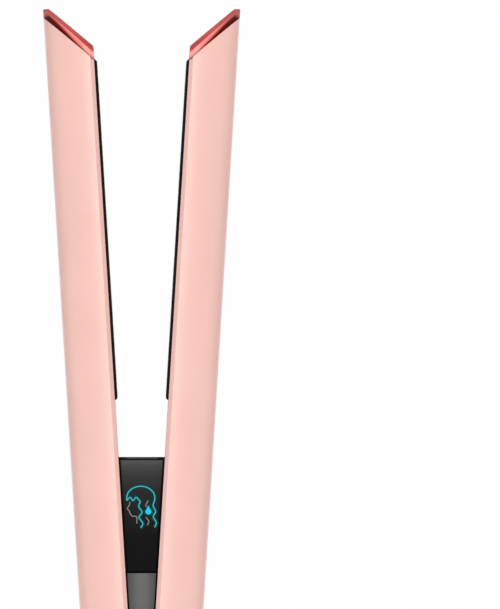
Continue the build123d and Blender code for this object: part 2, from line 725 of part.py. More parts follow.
# ---------------------------------------------------------------- base: sizes
CUT_DEPTH = 10.0
CUTTER_SMALL = 4.0
COVER_THICK = 2.0
COVER_HOLE_X = 9.4
COVER_HOLE_Y = 30.2
BUTTON_BACK = -17.0
BUTTON_FACE = -20.9
BUTTON_ROUND = 0.5
ROCKER_BACK = -16.5
ROCKER_FACE = -20.6
ROCKER_ROUND = 0.6
VALLEY_R = 4.2
VALLEY_DEPTH = 0.6
LOCK_KNOB = 6.0
LOCK_NECK = 3.0
LOCK_PLAY = 0.6
LOCK_PLATE_X = 6.5
LOCK_PLATE_TALL = 8.5
LOCK_PLATE_Y = 16.6
LOCK_PLATE_THICK = 1.2
LOCK_OUT = 4.0
LOCK_ROUND = 0.4
MOTOR_R = 10.5
MOTOR_LOW = 15.0
MOTOR_LEN = 21.0
MOTOR_ROUND = 1.5
SHAFT_R = 1.5
SHAFT_LEN = 11.0
IMPELLER_LOW = 38.0
IMPELLER_R = 11.4
IMPELLER_DISC = 1.2
IMPELLER_HUB_R = 3.4
IMPELLER_TALL = 8.5
BLADE_R = 7.2
BLADES = 9
BLADE_LEN = 8.2
BLADE_THICK = 0.9
BLADE_TURN = 28
BLADE_TALL = 6.9
SHROUD_R = 13.2
SHROUD_IN_R = 12.0
ISOLATORS_Z = (15.5, 31.0)
ISOLATOR_TALL = 3.0
INTAKE_ROWS = (22.0, 26.5)
INTAKES = 10
INTAKE_WIDE = 4.4
INTAKE_TALL = 3.2
MAIN_BOARD_X = 13.5
MAIN_BOARD_Z = 47.0
MAIN_BOARD_SIDE = 13.0
MAIN_BOARD_THICK = 1.4
CAGE_PLAY = 0.4
WINDOW_ROWS = (15.6, 22.0, 28.4)
WINDOWS = 24
WINDOW_WIDE = 2.2
WINDOW_TALL = 4.4
FILTER_R = 15.6
FILTER_THICK = 0.8
SPIGOT_TALL = 3.0
CAP_CHAMFER_LOW = 1.0

# ---------------------------------------------------------------- base: housing and cover
with BuildPart() as housing:
    for inset, mode in ((0.0, Mode.ADD), (HOUSING_WALL, Mode.SUBTRACT)):
        size_x = 2 * (ARM_OUT - inset)
        size_y = 2 * (HALF_Y - inset)
        with BuildSketch(Plane.XY.offset(HOUSING_LOW)):
            RectangleRounded(2 * (CAGE_R - inset), 2 * (CAGE_R - inset), CAGE_R - inset - 0.4)
        with BuildSketch(Plane.XY.offset(BLEND_TOP)):
            RectangleRounded(size_x, size_y, CORNER_R - inset)
        loft(mode=mode)
        with BuildSketch(Plane.XY.offset(BLEND_TOP)):
            RectangleRounded(size_x, size_y, CORNER_R - inset)
        extrude(amount=HOUSING_TOP - BLEND_TOP, mode=mode)
    # Front: power button bore and rocker slot
    with BuildSketch(FRONT.offset(CUT_DEPTH)):
        with Locations((0, BUTTON_Z)):
            Circle(BUTTON_R + BUTTON_PLAY)
        with Locations((0, ROCKER_Z)):
            Rectangle(ROCKER_W + 2 * BUTTON_PLAY, ROCKER_H + 2 * BUTTON_PLAY)
    extrude(amount=2 * CUT_DEPTH, mode=Mode.SUBTRACT)
    # Rear: slot for the lock slider
    with BuildSketch(FRONT.offset(-CUT_DEPTH)):
        with Locations((0, LOCK_Z + LOCK_TRAVEL / 2)):
            SlotOverall(LOCK_TRAVEL + LOCK_KNOB + LOCK_PLAY, LOCK_NECK + LOCK_PLAY, rotation=90)
    extrude(amount=-2 * CUT_DEPTH, mode=Mode.SUBTRACT)
export(housing.part, "base_housing")

with BuildPart() as top_cover:
    with BuildSketch(Plane.XY.offset(HOUSING_TOP - COVER_THICK)):
        base_plug(PLATE_PLAY)
        Rectangle(COVER_HOLE_X, COVER_HOLE_Y, mode=Mode.SUBTRACT)
    extrude(amount=COVER_THICK)
export(top_cover.part, "top_cover")

# ---------------------------------------------------------------- base: controls
with BuildPart() as power_button:
    with BuildSketch(FRONT.offset(-BUTTON_BACK)):
        with Locations((0, BUTTON_Z)):
            Circle(BUTTON_R)
    extrude(amount=BUTTON_BACK - BUTTON_FACE)
    fillet(power_button.edges().sort_by(Axis.Y)[:1], BUTTON_ROUND)
export(power_button.part, "power_button")

with BuildPart() as temp_rocker:
    with BuildSketch(FRONT.offset(-ROCKER_BACK)):
        with Locations((0, ROCKER_Z)):
            Rectangle(ROCKER_W, ROCKER_H)
    extrude(amount=ROCKER_BACK - ROCKER_FACE)
    fillet(temp_rocker.faces().sort_by(Axis.Y)[0].edges(), ROCKER_ROUND)
    # Shallow valley across the middle tells up from down
    with BuildSketch(across(-ROCKER_W, 0, ROCKER_Z)):
        with Locations((ROCKER_FACE + VALLEY_DEPTH - VALLEY_R, 0)):
            Circle(VALLEY_R)
    extrude(amount=2 * ROCKER_W, mode=Mode.SUBTRACT)
export(temp_rocker.part, "temp_rocker")

with BuildPart() as lock_slider:
    # Plate inside the housing, wider than the slot
    with BuildSketch(FRONT.offset(-LOCK_PLATE_Y)):
        with Locations((0, LOCK_Z)):
            Rectangle(LOCK_PLATE_X, LOCK_PLATE_TALL)
    extrude(amount=-LOCK_PLATE_THICK)
    # Knob that stands out through the slot
    with BuildSketch(FRONT.offset(-LOCK_PLATE_Y - LOCK_PLATE_THICK)):
        with Locations((0, LOCK_Z)):
            SlotOverall(LOCK_KNOB, LOCK_NECK, rotation=90)
    extrude(amount=-LOCK_OUT)
    fillet(lock_slider.edges().sort_by(Axis.Y)[-2:], LOCK_ROUND)
export(lock_slider.part, "lock_slider")

# ---------------------------------------------------------------- base: fan, motor, board
with BuildPart() as motor:
    with BuildSketch(Plane.XY.offset(MOTOR_LOW)):
        Circle(MOTOR_R)
    extrude(amount=MOTOR_LEN)
    fillet(motor.edges().sort_by(Axis.Z)[-1:], MOTOR_ROUND)
    with BuildSketch(Plane.XY.offset(MOTOR_LOW + MOTOR_LEN)):
        Circle(SHAFT_R)
    extrude(amount=SHAFT_LEN)
export(motor.part, "motor")

with BuildPart() as impeller:
    with BuildSketch(Plane.XY.offset(IMPELLER_LOW)):
        Circle(IMPELLER_R)
    extrude(amount=IMPELLER_DISC)
    with BuildSketch(Plane.XY.offset(IMPELLER_LOW)):
        Circle(IMPELLER_HUB_R)
    extrude(amount=IMPELLER_TALL)
    with BuildSketch(Plane.XY.offset(IMPELLER_LOW + IMPELLER_DISC / 2)):
        with PolarLocations(BLADE_R, BLADES):
            Rectangle(BLADE_LEN, BLADE_THICK, rotation=BLADE_TURN)
    extrude(amount=BLADE_TALL)
    with BuildSketch(Plane.XY.offset(IMPELLER_LOW - 1)):
        Circle(SHAFT_R + RUNNING)
    extrude(amount=IMPELLER_TALL + 2, mode=Mode.SUBTRACT)
export(impeller.part, "impeller")

with BuildPart() as motor_isolator:
    for low in ISOLATORS_Z:
        with BuildSketch(Plane.XY.offset(low)):
            Circle(SHROUD_IN_R)
            Circle(MOTOR_R, mode=Mode.SUBTRACT)
        extrude(amount=ISOLATOR_TALL)
export(motor_isolator.part, "motor_isolator")

with BuildPart() as shroud:
    with BuildSketch(Plane.XY.offset(CAP_TOP + SPIGOT_TALL)):
        Circle(SHROUD_R)
        Circle(SHROUD_IN_R, mode=Mode.SUBTRACT)
    extrude(amount=PLATE_LOW - CAP_TOP - SPIGOT_TALL)
    # Air comes in from the filter between the two rubber rings
    for z in INTAKE_ROWS:
        with Locations((0, 0, z)):
            with PolarLocations((SHROUD_R + SHROUD_IN_R) / 2, INTAKES):
                Box(CUTTER_SMALL, INTAKE_WIDE, INTAKE_TALL, mode=Mode.SUBTRACT)
export(shroud.part, "fan_shroud")

with BuildPart() as main_board:
    with BuildSketch(across(MAIN_BOARD_X, 0, MAIN_BOARD_Z)):
        Rectangle(MAIN_BOARD_SIDE, MAIN_BOARD_SIDE)
    extrude(amount=MAIN_BOARD_THICK)
export(main_board.part, "main_board")

# ---------------------------------------------------------------- base: filter, cap, gland
with BuildPart() as filter_cage:
    with BuildSketch(Plane.XY.offset(CAP_TOP + CAGE_PLAY)):
        Circle(CAGE_R)
        Circle(CAGE_R - CAGE_WALL, mode=Mode.SUBTRACT)
    extrude(amount=HOUSING_LOW - CAP_TOP - 2 * CAGE_PLAY)
    for z in WINDOW_ROWS:
        with Locations((0, 0, z)):
            with PolarLocations(CAGE_R - CAGE_WALL / 2, WINDOWS):
                Box(CUTTER_SMALL, WINDOW_WIDE, WINDOW_TALL, mode=Mode.SUBTRACT)
export(filter_cage.part, "filter_cage")

with BuildPart() as filter_mesh:
    with BuildSketch(Plane.XY.offset(CAP_TOP)):
        Circle(FILTER_R)
        Circle(FILTER_R - FILTER_THICK, mode=Mode.SUBTRACT)
    extrude(amount=HOUSING_LOW - CAP_TOP)
export(filter_mesh.part, "filter_mesh")

with BuildPart() as base_cap:
    with BuildSketch(Plane.XY):
        Circle(CAGE_R)
    extrude(amount=CAP_TOP)
    chamfer(base_cap.edges().filter_by(GeomType.CIRCLE).sort_by(Axis.Z)[:1], CAP_CHAMFER_LOW)
    with BuildSketch(Plane.XY.offset(CAP_TOP)):
        Circle(SHROUD_R)
    extrude(amount=SPIGOT_TALL)
    with BuildSketch(Plane.XY.offset(-1)):
        Circle(GLAND_OUT)
    extrude(amount=CUTTER, mode=Mode.SUBTRACT)
export(base_cap.part, "base_cap")

with BuildPart() as gland:
    with BuildSketch(Plane.XY):
        Circle(GLAND_OUT)
        Circle(GLAND_R, mode=Mode.SUBTRACT)
    extrude(amount=GLAND_LEN)
export(gland.part, "cord_gland")
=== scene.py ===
# %% [markdown]
# # Airflow flat iron
# The tool has two long half-round arms that hinge on a round handle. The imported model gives
# every solid in its true place, in metres, with +Z up the tool, +X at the right arm and -Y at
# the display. We load it first, and every piece made below is placed from its boxes.

import json
from math import acos, cos, pi, radians, sin

import bmesh
import bpy
from mathutils import Matrix, Vector


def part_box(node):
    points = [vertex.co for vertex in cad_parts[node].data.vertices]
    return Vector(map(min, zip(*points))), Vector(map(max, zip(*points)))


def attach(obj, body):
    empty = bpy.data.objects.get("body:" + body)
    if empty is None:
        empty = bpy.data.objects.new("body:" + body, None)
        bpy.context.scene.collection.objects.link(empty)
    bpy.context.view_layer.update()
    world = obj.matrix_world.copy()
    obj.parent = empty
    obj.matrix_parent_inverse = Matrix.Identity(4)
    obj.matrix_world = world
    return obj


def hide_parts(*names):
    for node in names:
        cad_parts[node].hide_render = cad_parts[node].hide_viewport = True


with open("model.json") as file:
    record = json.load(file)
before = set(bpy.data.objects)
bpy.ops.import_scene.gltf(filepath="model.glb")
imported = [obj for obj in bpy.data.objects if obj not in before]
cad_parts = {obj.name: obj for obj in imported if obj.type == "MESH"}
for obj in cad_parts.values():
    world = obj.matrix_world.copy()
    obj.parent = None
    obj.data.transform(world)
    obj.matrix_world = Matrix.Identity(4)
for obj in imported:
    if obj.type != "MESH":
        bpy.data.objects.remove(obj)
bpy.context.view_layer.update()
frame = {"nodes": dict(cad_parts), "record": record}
nodes = frame["nodes"]
print("solids in the model:", len(nodes))

# %% [markdown]
# ## Driving sizes
# A few sizes repeat here because the finer pieces below are cut on the same lines as the solids:
# the half-round section of an arm, the slanted cut at its tip, and the hinge that opens it.
# One unit, MM, keeps the numbers readable.

# %% sizes
MM = 0.001

# Section of an arm
ARM_IN = 1.9 * MM
ARM_OUT = 17.7 * MM
HALF_Y = 20.25 * MM
CORNER_R = 15.3 * MM
CORNER_X = ARM_OUT - CORNER_R
FLAT_Y = HALF_Y - CORNER_R
SHELL_REAR = 12.65 * MM
# How far the rear corner turns, in radians, before it meets the rear face at SHELL_REAR
REAR_TURN = 0.5272

# Slanted tip
TIP_TOP = 315.0 * MM
SHELL_TIP = 312.2 * MM
CAP_RISE = 4.6 * MM
CUT_SLOPE = 0.95
SLANT = Vector((-CUT_SLOPE, 0, 1)).normalized()
SEAM = 0.12 * MM

# Hinge
PIVOT = Vector((0, 0, 72.0 * MM))
OPEN = radians(3.5)

# Round hub at the rear
HUB_Y = 5.0 * MM
HUB_Z = 189.7 * MM
HUB_CUT_Y = 8.46 * MM
DISC_R = 18.95 * MM
RING_R = 21.2 * MM
FLANGE_R = 26.5 * MM

SIDES = {"r": "right_arm", "l": "left_arm"}
print("arm depth:", round((ARM_OUT - ARM_IN) / MM, 1), "mm")

# %% [markdown]
# ## Finishes
# A finish is a small node tree on the Principled shader. Each starts from the same helper, which
# gives the shader its uniform numbers, and then adds what the real surface has: orange peel in a
# sprayed coat, the fine blast of anodised metal, the grain of a moulded plastic. Patterns read
# Object coordinates, so they stay put on the piece in every pose.


# %% helper: a new finish
def new_finish(name, color, roughness, metallic=0.0, specular=0.5):
    """A material with one Principled shader; returns the material, its tree and the shader."""
    finish = bpy.data.materials.new(name)
    finish.use_nodes = True
    tree = finish.node_tree
    shader = tree.nodes["Principled BSDF"]
    shader.inputs["Base Color"].default_value = (*color, 1.0)
    shader.inputs["Roughness"].default_value = roughness
    shader.inputs["Metallic"].default_value = metallic
    shader.inputs["Specular IOR Level"].default_value = specular
    return finish, tree, shader


# %% helper: noise on Object coordinates
def noise(tree, scale, detail=2.0, stretch=(1, 1, 1)):
    """A noise texture in the piece's own space; scale is in cells for each metre."""
    place = tree.nodes.new("ShaderNodeTexCoord")
    turn = tree.nodes.new("ShaderNodeMapping")
    turn.inputs["Scale"].default_value = stretch
    grain = tree.nodes.new("ShaderNodeTexNoise")
    grain.inputs["Scale"].default_value = scale
    grain.inputs["Detail"].default_value = detail
    tree.links.new(place.outputs["Object"], turn.inputs["Vector"])
    tree.links.new(turn.outputs["Vector"], grain.inputs["Vector"])
    return grain


# %% helpers: bump and spread
def add_bump(tree, shader, source, strength, depth):
    """Turns a grey pattern into fine relief."""
    bump = tree.nodes.new("ShaderNodeBump")
    bump.inputs["Strength"].default_value = strength
    bump.inputs["Distance"].default_value = depth
    tree.links.new(source, bump.inputs["Height"])
    tree.links.new(bump.outputs["Normal"], shader.inputs["Normal"])


def spread(tree, source, low, high, socket):
    """Maps a 0 to 1 pattern onto a narrow range of one shader number."""
    span = tree.nodes.new("ShaderNodeMapRange")
    span.inputs["To Min"].default_value = low
    span.inputs["To Max"].default_value = high
    tree.links.new(source, span.inputs["Value"])
    tree.links.new(span.outputs["Result"], socket)


# %% helper: colours along a number
def color_ramp(tree, source, stops):
    """A colour that follows a number; stops are (position, colour), and there are two or more."""
    ramp = tree.nodes.new("ShaderNodeValToRGB")
    elements = ramp.color_ramp.elements
    for _ in stops[2:]:
        elements.new(1.0)
    for element, (position, color) in zip(elements, stops):
        element.position = position
        element.color = (*color, 1)
    tree.links.new(source, ramp.inputs["Fac"])
    return ramp.outputs["Color"]


# %% helper: two close shades of one colour
def mottle(tree, shader, source, dark, light):
    """Mixes two close shades over the surface, so the coat isn't one flat colour."""
    shade = color_ramp(tree, source, [(0.3, dark), (0.7, light)])
    tree.links.new(shade, shader.inputs["Base Color"])


# %% helpers: range and mix
def ranged(tree, source, start, end):
    """Maps a number that goes from start to end onto 0 to 1."""
    span = tree.nodes.new("ShaderNodeMapRange")
    span.inputs["From Min"].default_value = start
    span.inputs["From Max"].default_value = end
    tree.links.new(source, span.inputs["Value"])
    return span.outputs["Result"]


def mix_colors(tree, factor, first, second, blend_type="MIX"):
    """Mixes two colours; each is a socket or three numbers."""
    mix = tree.nodes.new("ShaderNodeMix")
    mix.data_type = "RGBA"
    mix.blend_type = blend_type
    # The node keeps its colour sockets behind those for numbers and vectors
    factor_in, first_in, second_in, color_out = 0, 6, 7, 2
    tree.links.new(factor, mix.inputs[factor_in])
    for place, color in ((first_in, first), (second_in, second)):
        if isinstance(color, tuple):
            mix.inputs[place].default_value = (*color, 1)
        else:
            tree.links.new(color, mix.inputs[place])
    return mix.outputs[color_out]


# %% helper: from a deep tone to the full colour
def blend_in(tree, shader, deep, source, start, end):
    """Lets the colour rise out of a deep tone while the source goes from start to end."""
    full = shader.inputs["Base Color"].links[0].from_socket
    color = mix_colors(tree, ranged(tree, source, start, end), deep, full)
    tree.links.new(color, shader.inputs["Base Color"])


def paint_crevice_shade(tree, shader, deep, reach, start, end):
    """Paints shade into seams and corners: the colour darkens where ambient occlusion finds close
    surfaces.
    """
    gap = tree.nodes.new("ShaderNodeAmbientOcclusion")
    gap.samples = 8
    gap.inputs["Distance"].default_value = reach
    blend_in(tree, shader, deep, gap.outputs["AO"], start, end)


# %% helpers: place and sums in a node tree
def xyz(tree, source):
    """The X, Y and Z of a piece's own coordinates; source is Object or Normal."""
    place = tree.nodes.new("ShaderNodeTexCoord")
    split = tree.nodes.new("ShaderNodeSeparateXYZ")
    tree.links.new(place.outputs[source], split.inputs["Vector"])
    return split.outputs["X"], split.outputs["Y"], split.outputs["Z"]


def math_node(tree, operation, first, second):
    """One sum; each input is a socket or a number."""
    step = tree.nodes.new("ShaderNodeMath")
    step.operation = operation
    for socket, value in zip(step.inputs, (first, second)):
        if isinstance(value, (int, float)):
            socket.default_value = value
        else:
            tree.links.new(value, socket)
    return step.outputs["Value"]


# %% [markdown]
# ### Pink coat
# The shells are sprayed in a pale pink satin coat. It is nearly matt, with a thin, soft clear
# layer, and in raking light shows the orange peel that every sprayed coat has. We keep the two
# shades very close: the coat looks even from arm's length.

# %% pink coat
pink, tree, shader = new_finish("pink_satin_coat", (0.615, 0.354, 0.308), 0.42)
shader.inputs["Coat Weight"].default_value = 1.0
shader.inputs["Coat Roughness"].default_value = 0.34
cloud = noise(tree, 60)
mottle(tree, shader, cloud.outputs["Fac"], (0.605, 0.346, 0.301), (0.625, 0.362, 0.315))
peel = noise(tree, 1400, 1.0)
add_bump(tree, shader, peel.outputs["Fac"], 0.05, 0.00005)
spread(tree, cloud.outputs["Fac"], 0.38, 0.46, shader.inputs["Roughness"])
# painted shade: the pink coat darkens in seams and corners
paint_crevice_shade(tree, shader, (0.3, 0.09, 0.07), 1.2 * MM, 0.35, 0.75)

# %% [markdown]
# ### Coral metal
# The jaws, tips and hubs are aluminium, blasted and anodised coral red. Anodising dyes the metal
# through a clear layer, so the colour stays in the reflection: a partly metallic shader with a
# middling roughness gives the dark-to-bright sweep round every curve.

# %% coral metal
CORAL = (0.80, 0.19, 0.175)


def anodised(name):
    """Blasted aluminium, dyed coral."""
    finish, tree, shader = new_finish(name, CORAL, 0.38, 0.35)
    blast = noise(tree, 5200, 2.0)
    cloud = noise(tree, 90)
    mottle(tree, shader, cloud.outputs["Fac"], (0.78, 0.18, 0.165), (0.82, 0.195, 0.18))
    add_bump(tree, shader, blast.outputs["Fac"], 0.08, 0.00003)
    spread(tree, cloud.outputs["Fac"], 0.33, 0.4, shader.inputs["Roughness"])
    return finish, tree, shader


coral, tree, shader = anodised("coral_anodised")
# painted shade: the coral darkens in seams and corners, over a wide reach
paint_crevice_shade(tree, shader, (0.10, 0.006, 0.005), 6.0 * MM, 0.4, 1.0)

# %% [markdown]
# ### Hub flare
# Outside its ring each hub flares inwards to a wide flange. Painted shade lies darkest at the foot
# of the ring and lightens towards the flange's edge, so the tone follows the distance from the hub's
# axis. The arms stand open here, so the height is first turned back to the closed arm's.

# %% hub flare
FLARE_SHADE = (0.20, 0.016, 0.014)
SHADE_START = RING_R + 0.05 * MM
SHADE_END = FLANGE_R - 1.2 * MM
flare, tree, shader = anodised("coral_flare_painted_shade")
side, rear, up = xyz(tree, "Object")
side = math_node(tree, "MULTIPLY", math_node(tree, "ABSOLUTE", side, 0.0), sin(OPEN))
up = math_node(tree, "ADD", math_node(tree, "MULTIPLY", up, cos(OPEN)), side)
up = math_node(tree, "ADD", up, PIVOT.z * (1 - cos(OPEN)) - HUB_Z)
rear = math_node(tree, "SUBTRACT", rear, HUB_Y)
squares = [math_node(tree, "POWER", step, 2.0) for step in (up, rear)]
distance = math_node(tree, "SQRT", math_node(tree, "ADD", *squares), 0.0)
# painted shade: dark at the foot of the ring, lighter towards the flange's edge
blend_in(tree, shader, FLARE_SHADE, distance, SHADE_START, SHADE_END)
on_ring = math_node(tree, "LESS_THAN", distance, SHADE_START)
below = shader.inputs["Base Color"].links[0].from_socket
tree.links.new(mix_colors(tree, on_ring, below, CORAL), shader.inputs["Base Color"])

# %% [markdown]
# ### Tip cap flank
# The flank of each tip cap is hollow, and its colour carries painted shade: darkest low down where
# the flank turns a corner, a mid shade and a dark line towards the top rim, and darker where the
# flank faces sideways. The cap carries its own height above the seam as an attribute, RISE, from 0
# to 1. The finish reads that and the corner's direction, so the painted shade thins out along the
# flat front.

# %% tip cap flank
RISE = "rise"
CAP_SHADOW = (0.10, 0.003, 0.001)
BRIGHT = (0.78, 0.20, 0.18)
SHADE = (0.30, 0.05, 0.045)
CAP_HALF_SHADE = (0.46, 0.09, 0.085)
CAP_RIM_SHADE = (0.10, 0.014, 0.014)
CAP_TONES = [(0.2, CAP_SHADOW), (0.42, BRIGHT), (0.56, BRIGHT), (0.68, SHADE), (0.86, CAP_HALF_SHADE),
             (0.93, CAP_HALF_SHADE), (1.0, CAP_RIM_SHADE)]
SIDE_SHADE = (0.5, 0.42, 0.42)
cap_finish, tree, shader = new_finish("coral_cap_painted_shade", BRIGHT, 0.36, 0.35, 0.04)
lines = noise(tree, 900, 2.0, (1, 14, 1))
spread(tree, lines.outputs["Fac"], 0.32, 0.42, shader.inputs["Roughness"])
add_bump(tree, shader, lines.outputs["Fac"], 0.04, 0.00002)
rise = tree.nodes.new("ShaderNodeAttribute")
rise.attribute_name = RISE
across, along, _ = xyz(tree, "Normal")
across = math_node(tree, "ABSOLUTE", across, 0.0)
along = math_node(tree, "ABSOLUTE", along, 0.0)
# painted shade: a dark band low down where the flank turns a corner
corner = math_node(tree, "MULTIPLY", math_node(tree, "MULTIPLY", across, across), along)
side_on = math_node(tree, "MULTIPLY", math_node(tree, "SUBTRACT", 1.0, across), 9.0)
corner = math_node(tree, "MULTIPLY", corner, math_node(tree, "MINIMUM", side_on, 1.0))
lift = math_node(tree, "MULTIPLY", rise.outputs["Fac"], 0.75)
sink = math_node(tree, "MULTIPLY", corner, -0.86)
tone = math_node(tree, "ADD", math_node(tree, "ADD", lift, 0.25), sink)
shade = color_ramp(tree, tone, CAP_TONES)
# painted shade: flank faces that turn sideways are darkened
outer = math_node(tree, "POWER", across, 3.0)
shade = mix_colors(tree, outer, shade, SIDE_SHADE, "MULTIPLY")
tree.links.new(shade, shader.inputs["Base Color"])

# %% [markdown]
# ### Black strips, dark plastic and grey keys
# Three blacks sit side by side here. The air strip is smooth and glossy, because hair slides
# along it; the carrier behind the display is fine matt plastic; the keys are a satin dark grey.

# %% black strip
black_gloss, tree, shader = new_finish("black_gloss_strip", (0.002, 0.0006, 0.0005), 0.22, 0.0, 0.025)
wear = noise(tree, 700, 3.0, (1, 1, 6))
spread(tree, wear.outputs["Fac"], 0.16, 0.3, shader.inputs["Roughness"])

# %% dark plastic
dark, tree, shader = new_finish("dark_moulded", (0.005, 0.0025, 0.002), 0.6, 0.0, 0.04)
grain = noise(tree, 3800, 3.0)
add_bump(tree, shader, grain.outputs["Fac"], 0.15, 0.00006)
spread(tree, grain.outputs["Fac"], 0.52, 0.68, shader.inputs["Roughness"])

# %% grey key
grey, tree, shader = new_finish("grey_satin_key", (0.05, 0.05, 0.048), 0.26, 0.0, 0.25)
grain = noise(tree, 4200, 2.0)
mottle(tree, shader, grain.outputs["Fac"], (0.046, 0.046, 0.044), (0.054, 0.054, 0.052))
add_bump(tree, shader, grain.outputs["Fac"], 0.06, 0.00003)

# %% [markdown]
# ### Display glass
# The display is dark glass. Its colour is a painted reflection of the pale room, lighter at its top
# than at its foot. The fade runs up the piece itself, in its own coordinates.

# %% display glass
screen, tree, shader = new_finish("display_glass_painted_reflection", (0.02, 0.02, 0.02), 0.12, 0.0, 0.01)
low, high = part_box("display_glass")
REFLECTION_FADE = ((0.0, 0.0032), (0.3, 0.0035), (0.72, 0.0145), (0.86, 0.026), (0.95, 0.042), (1.0, 0.062))
height = ranged(tree, xyz(tree, "Object")[2], low.z, high.z)
# painted reflection: lighter towards the top of the glass
shade = color_ramp(tree, height, [(position, (level,) * 3) for position, level in REFLECTION_FADE])
tree.links.new(shade, shader.inputs["Base Color"])

# %% [markdown]
# ### Metals, rubber and board
# Inside and at the base are plain working materials: turned steel, cast aluminium, a woven steel
# filter, moulded rubber and a green board with its tracks.

# %% steel and aluminium
steel, tree, shader = new_finish("turned_steel", (0.56, 0.56, 0.58), 0.3, 1.0)
turning = noise(tree, 2500, 2.0, (1, 1, 9))
spread(tree, turning.outputs["Fac"], 0.22, 0.4, shader.inputs["Roughness"])
cast, tree, shader = new_finish("cast_aluminium", (0.68, 0.68, 0.7), 0.5, 1.0)
skin = noise(tree, 1800, 3.0)
add_bump(tree, shader, skin.outputs["Fac"], 0.2, 0.0001)

# %% woven filter
woven, tree, shader = new_finish("woven_filter", (0.2, 0.2, 0.21), 0.4, 0.8)
place = tree.nodes.new("ShaderNodeTexCoord")
weave = tree.nodes.new("ShaderNodeTexWave")
weave.bands_direction = "Z"
weave.inputs["Scale"].default_value = 420
tree.links.new(place.outputs["Object"], weave.inputs["Vector"])
mottle(tree, shader, weave.outputs["Fac"], (0.06, 0.06, 0.065), (0.32, 0.32, 0.33))
add_bump(tree, shader, weave.outputs["Fac"], 0.5, 0.0002)

# %% rubber and board
rubber, tree, shader = new_finish("moulded_rubber", (0.02, 0.02, 0.021), 0.75)
grain = noise(tree, 2600, 3.0)
add_bump(tree, shader, grain.outputs["Fac"], 0.25, 0.0001)
board, tree, shader = new_finish("circuit_board", (0.01, 0.09, 0.045), 0.35)
tracks = noise(tree, 900, 0.0, (1, 6, 1))
mottle(tree, shader, tracks.outputs["Fac"], (0.008, 0.075, 0.035), (0.03, 0.17, 0.08))

# %% [markdown]
# ### Light in the display and print on the keys
# The pictogram is the only thing that gives light: a cyan line, a brighter drop, and a dim halo
# that a lit line makes in its glass. The keys carry a plain pale print.


# %% glowing and printed inks
def glow(name, light, strength=1.0, color=(0.0, 0.0, 0.0), roughness=0.6):
    """A dull finish that gives light of its own."""
    ink, _, shader = new_finish(name, color, roughness, 0.0, 0.0)
    shader.inputs["Emission Color"].default_value = (*light, 1.0)
    shader.inputs["Emission Strength"].default_value = strength
    return ink


cyan_line = glow("cyan_line_light", (0.1, 0.47, 0.5))
cyan_drop = glow("cyan_drop_light", (0.02, 0.62, 0.84))
cyan_halo = glow("cyan_halo_light", (0.0, 0.06, 0.07))
grey_line = glow("grey_line_light", (0.25, 0.235, 0.24))
print_ink, tree, shader = new_finish("pale_print", (0.62, 0.62, 0.6), 0.5)
grain = noise(tree, 3000, 2.0)
spread(tree, grain.outputs["Fac"], 0.45, 0.55, shader.inputs["Roughness"])

# %% [markdown]
# ## Finishes on the solids
# Each solid takes the finish of its slot. Assigning to the slot of the object, and leaving the
# mesh alone, keeps the solid exactly where the model says.

# %% assign finishes
BY_SLOT = {
    "pink_shell": pink,
    "coral_metal": coral,
    "black_strip": black_gloss,
    "dark_plastic": dark,
    "key_grey": grey,
    "display_glass": screen,
    "steel": steel,
    "mesh_steel": woven,
    "bare_aluminium": cast,
    "board": board,
    "rubber": rubber,
}
slot_of = {part["node"]: part["material_slot"] for part in frame["record"]["subparts"]}
for name, solid in nodes.items():
    solid.data.materials.clear()
    solid.data.materials.append(BY_SLOT[slot_of[name]])
for side in SIDES:
    nodes[f"hub_ring_{side}"].data.materials[0] = flare
print("finished solids:", len(slot_of))

# %% [markdown]
# ## Making a piece
# Every new piece starts as a bmesh. When it is ready we recalculate its normals, put it in the
# scene at the origin with its finishes, and let it ride on its body.


# %% helpers: finish a bmesh as an object, and as a piece
SHARP = radians(35)
SAME_PLACE = 1e-7


def to_object(name, mesh, finishes):
    """Turns a bmesh into an object at the origin."""
    data = bpy.data.meshes.new(name)
    mesh.to_mesh(data)
    mesh.free()
    for finish in finishes:
        data.materials.append(finish)
    thing = bpy.data.objects.new(name, data)
    bpy.context.scene.collection.objects.link(thing)
    return thing


def make_piece(name, mesh, finishes, body):
    """Turns a bmesh into a piece that rides on a body."""
    bmesh.ops.remove_doubles(mesh, verts=mesh.verts, dist=SAME_PLACE)
    bmesh.ops.recalc_face_normals(mesh, faces=mesh.faces)
    piece = to_object(name, mesh, finishes)
    piece.data.shade_smooth()
    piece.data.set_sharp_from_angle(angle=SHARP)
    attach(piece, body)
    return piece


# %% helper: from the closed arm to its open place
def open_arm(mesh, side):
    """Swings a bmesh made on the closed right arm out to rest, and mirrors it for the left."""
    turn = Matrix.Rotation(OPEN, 3, "Y")
    bmesh.ops.rotate(mesh, verts=mesh.verts, cent=PIVOT, matrix=turn)
    if side == "l":
        bmesh.ops.scale(mesh, verts=mesh.verts, vec=(-1, 1, 1))


# %% [markdown]
# ## Tip caps
# Each arm ends in a slanted cap. Its flank isn't flat: a hollow runs round it, which shows a dark
# line below and a bright one above, partly from its shape and partly as painted shade in its finish.
# We draw the half-round outline by spinning a point round each corner, extrude it, slice it with the
# two slanted planes, and bevel the top rim with a profile under one half, which makes the bevel
# hollow instead of round.


